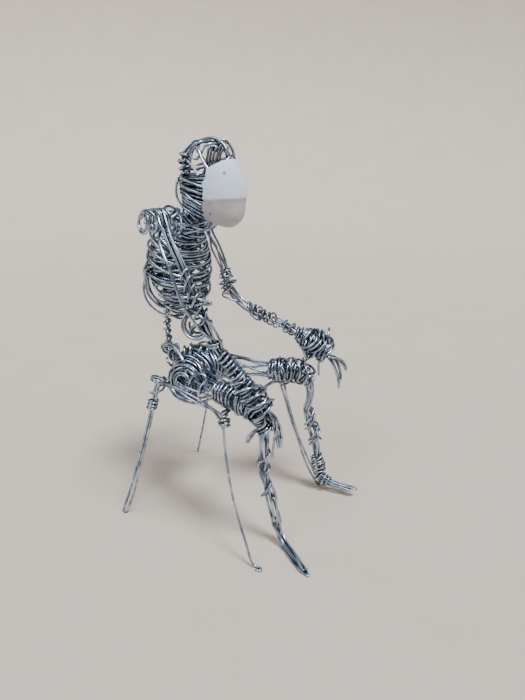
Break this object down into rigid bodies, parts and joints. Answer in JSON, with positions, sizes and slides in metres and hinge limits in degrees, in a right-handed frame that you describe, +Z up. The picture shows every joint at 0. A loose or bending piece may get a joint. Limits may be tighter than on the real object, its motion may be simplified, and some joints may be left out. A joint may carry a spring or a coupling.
{
  "type": "seated wire figure sculpture",
  "caption": "Seated figure hand-wound from bright wire on a splayed wire stool, with an open crown, a bent white sheet over the face and limbs bound with thinner wire.",
  "frame": {"origin": "on the floor, under the middle of the whole sculpture", "axes": "+Z up, -Y the way the figure faces, -X the figure's right"},
  "size_m": [0.1038, 0.1434, 0.2494],
  "materials": {
    "wire": "bright drawn",
    "binding_wire": "bright drawn",
    "sheet": "matt"
  },
  "bodies": {
    "root": {"back_seat_rail": "wire", "big_rib_loop": "wire", "collar_wire": "wire", "crown_arch": "wire", "crown_loops": "wire", "face_mask": "sheet", "front_seat_rail": "wire", "head_winding": "wire", "hip_winding": "wire", "left_ankle_winding": "binding_wire", "left_arm_wire_1": "wire", "left_arm_wire_2": "wire", "left_back_corner_winding": "binding_wire", "left_back_stool_leg": "wire", "left_collar_wire": "wire", "left_elbow_winding": "binding_wire", "left_forearm_winding": "binding_wire", "left_front_corner_winding": "binding_wire", "left_front_stool_leg": "wire", "left_hand_winding": "binding_wire", "left_hip_spiral": "wire", "left_knee_winding": "wire", "left_leg_second_wire": "wire", "left_leg_wire": "wire", "left_seat_rail": "wire", "left_shin_winding": "binding_wire", "left_shoulder_coil": "wire", "lower_rib_winding": "wire", "neck_winding": "wire", "right_arm_brace": "wire", "right_arm_wire_1": "wire", "right_arm_wire_2": "wire", "right_back_corner_winding": "binding_wire", "right_back_stool_leg": "wire", "right_elbow_loops": "wire", "right_forearm_winding": "binding_wire", "right_front_corner_winding": "binding_wire", "right_front_stool_leg": "wire", "right_hand_winding": "wire", "right_hip_spiral": "wire", "right_knee_winding": "wire", "right_leg_second_wire": "wire", "right_leg_wire": "wire", "right_seat_rail": "wire", "right_shin_winding": "binding_wire", "right_shoulder_coil": "wire", "right_thigh_winding": "wire", "side_rib_turns": "wire", "spine_foot_coil": "wire", "spine_wire_1": "binding_wire", "spine_wire_2": "binding_wire", "upper_rib_winding": "wire"}
  },
  "joints": []
}
